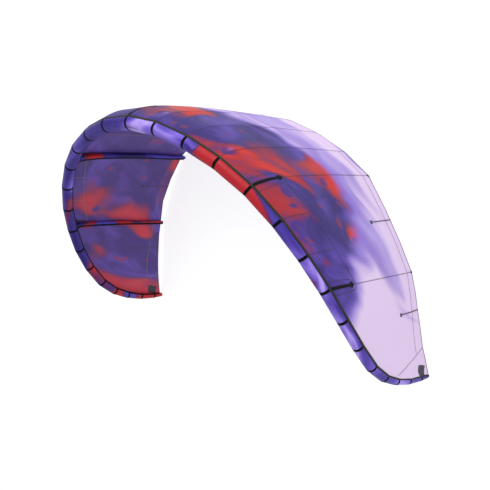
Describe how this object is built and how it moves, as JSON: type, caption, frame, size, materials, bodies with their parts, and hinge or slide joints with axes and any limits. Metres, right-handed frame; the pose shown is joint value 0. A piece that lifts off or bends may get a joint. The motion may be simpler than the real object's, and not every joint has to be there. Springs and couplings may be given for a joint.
{
  "type": "inflatable kitesurfing kite",
  "caption": "Arched cloth kite on an inflated leading edge with inflated struts, standing on its strut ends and wing tips.",
  "frame": {"origin": "middle of the bounding box on the surface it stands on", "axes": "+X to the right wing tip along the span, +Z from the trailing edge up to the leading edge, -Y to the open side of the arch where the tips are"},
  "size_m": [3.9026, 2.5964, 1.7456],
  "materials": {
    "edge_cloth": "smooth violet sailcloth with red and lilac dye",
    "strut_cloth": "smooth dark violet sailcloth",
    "canopy_cloth": "ripstop cloth, dyed violet, lilac and red",
    "reinforcement": "black reinforcing cloth",
    "batten_sleeve": "black cloth sleeve",
    "hose": "black flexible hose"
  },
  "bodies": {
    "root": {"leading_edge_01": "edge_cloth", "leading_edge_02": "edge_cloth", "leading_edge_03": "edge_cloth", "leading_edge_04": "edge_cloth", "leading_edge_05": "edge_cloth", "leading_edge_06": "edge_cloth", "leading_edge_07": "edge_cloth", "leading_edge_08": "edge_cloth", "leading_edge_09": "edge_cloth", "leading_edge_10": "edge_cloth", "leading_edge_11": "edge_cloth", "leading_edge_12": "edge_cloth", "leading_edge_13": "edge_cloth", "leading_edge_14": "edge_cloth", "leading_edge_15": "edge_cloth", "canopy_first_left": "canopy_cloth", "canopy_second_left": "canopy_cloth", "canopy_third_left": "canopy_cloth", "canopy_fourth_left": "canopy_cloth", "canopy_wing_left": "canopy_cloth", "canopy_tip_left": "canopy_cloth", "strut_inner_left": "strut_cloth", "hose_inner_left": "hose", "nose_bar_inner_left": "reinforcement", "strut_outer_left": "strut_cloth", "hose_outer_left": "hose", "nose_bar_outer_left": "reinforcement", "batten_inner_left": "batten_sleeve", "batten_outer_left": "batten_sleeve", "tip_patch_left": "reinforcement", "canopy_first_right": "canopy_cloth", "canopy_second_right": "canopy_cloth", "canopy_third_right": "canopy_cloth", "canopy_fourth_right": "canopy_cloth", "canopy_wing_right": "canopy_cloth", "canopy_tip_right": "canopy_cloth", "strut_centre": "strut_cloth", "hose_centre": "hose", "nose_bar_centre": "reinforcement", "strut_inner_right": "strut_cloth", "hose_inner_right": "hose", "nose_bar_inner_right": "reinforcement", "strut_outer_right": "strut_cloth", "hose_outer_right": "hose", "nose_bar_outer_right": "reinforcement", "batten_inner_right": "batten_sleeve", "batten_outer_right": "batten_sleeve", "tip_patch_right": "reinforcement"}
  },
  "joints": []
}
